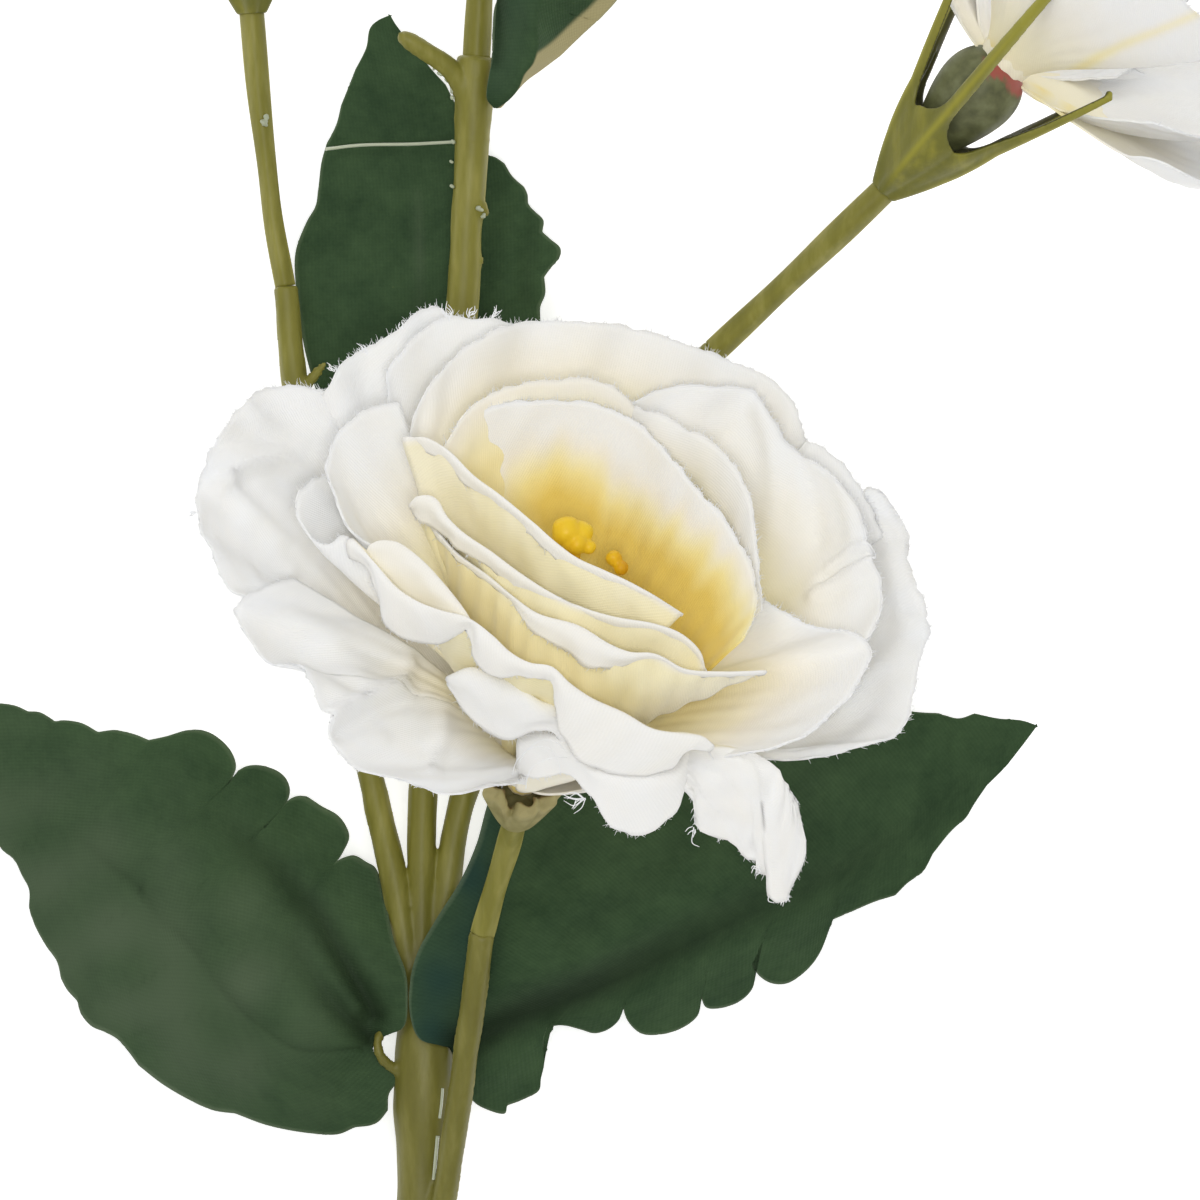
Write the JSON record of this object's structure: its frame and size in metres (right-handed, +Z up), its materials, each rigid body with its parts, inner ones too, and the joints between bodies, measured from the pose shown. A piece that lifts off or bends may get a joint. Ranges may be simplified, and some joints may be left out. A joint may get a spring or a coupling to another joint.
{
  "type": "lisianthus flower",
  "caption": "Artificial lisianthus spray of fabric petals and leaves on moulded plastic stems, lying on a surface.",
  "frame": {"origin": "middle of the outline, on the surface that the spray lies on", "axes": "+X to the spray's right and +Y from its cut end to its buds, seen from above; +Z up from the surface"},
  "size_m": [0.1384, 0.2534, 0.0583],
  "materials": {
    "stem_plastic": "satin moulded plastic, olive green",
    "calyx_plastic": "dull moulded plastic, brownish olive, torn rim",
    "sepal_plastic": "satin moulded plastic, olive green",
    "seat_plastic": "dull moulded plastic, grey olive",
    "petal_fabric": "fine woven fabric, white at the rims and yellow towards the roots",
    "pistil_plastic": "yellow moulded plastic",
    "leaf_fabric": "matte woven fabric with pressed veins, dark green"
  },
  "bodies": {
    "root": {"stem": "stem_plastic", "main_bloom_stalk": "stem_plastic", "side_bloom_stalk": "stem_plastic", "left_bud_stalk": "stem_plastic", "top_bud_stalk": "stem_plastic", "main_bloom_calyx": "calyx_plastic", "main_bloom_petals": "petal_fabric", "main_bloom_pistil": "pistil_plastic", "side_bloom_calyx": "sepal_plastic", "side_bloom_seat": "seat_plastic", "side_bloom_petals": "petal_fabric", "left_bud_calyx": "sepal_plastic", "left_bud_petals": "petal_fabric", "top_bud_calyx": "sepal_plastic", "top_bud_petals": "petal_fabric", "lower_left_leaf": "leaf_fabric", "lower_right_leaf": "leaf_fabric", "upper_back_leaf": "leaf_fabric", "upper_right_leaf": "leaf_fabric"}
  },
  "joints": []
}
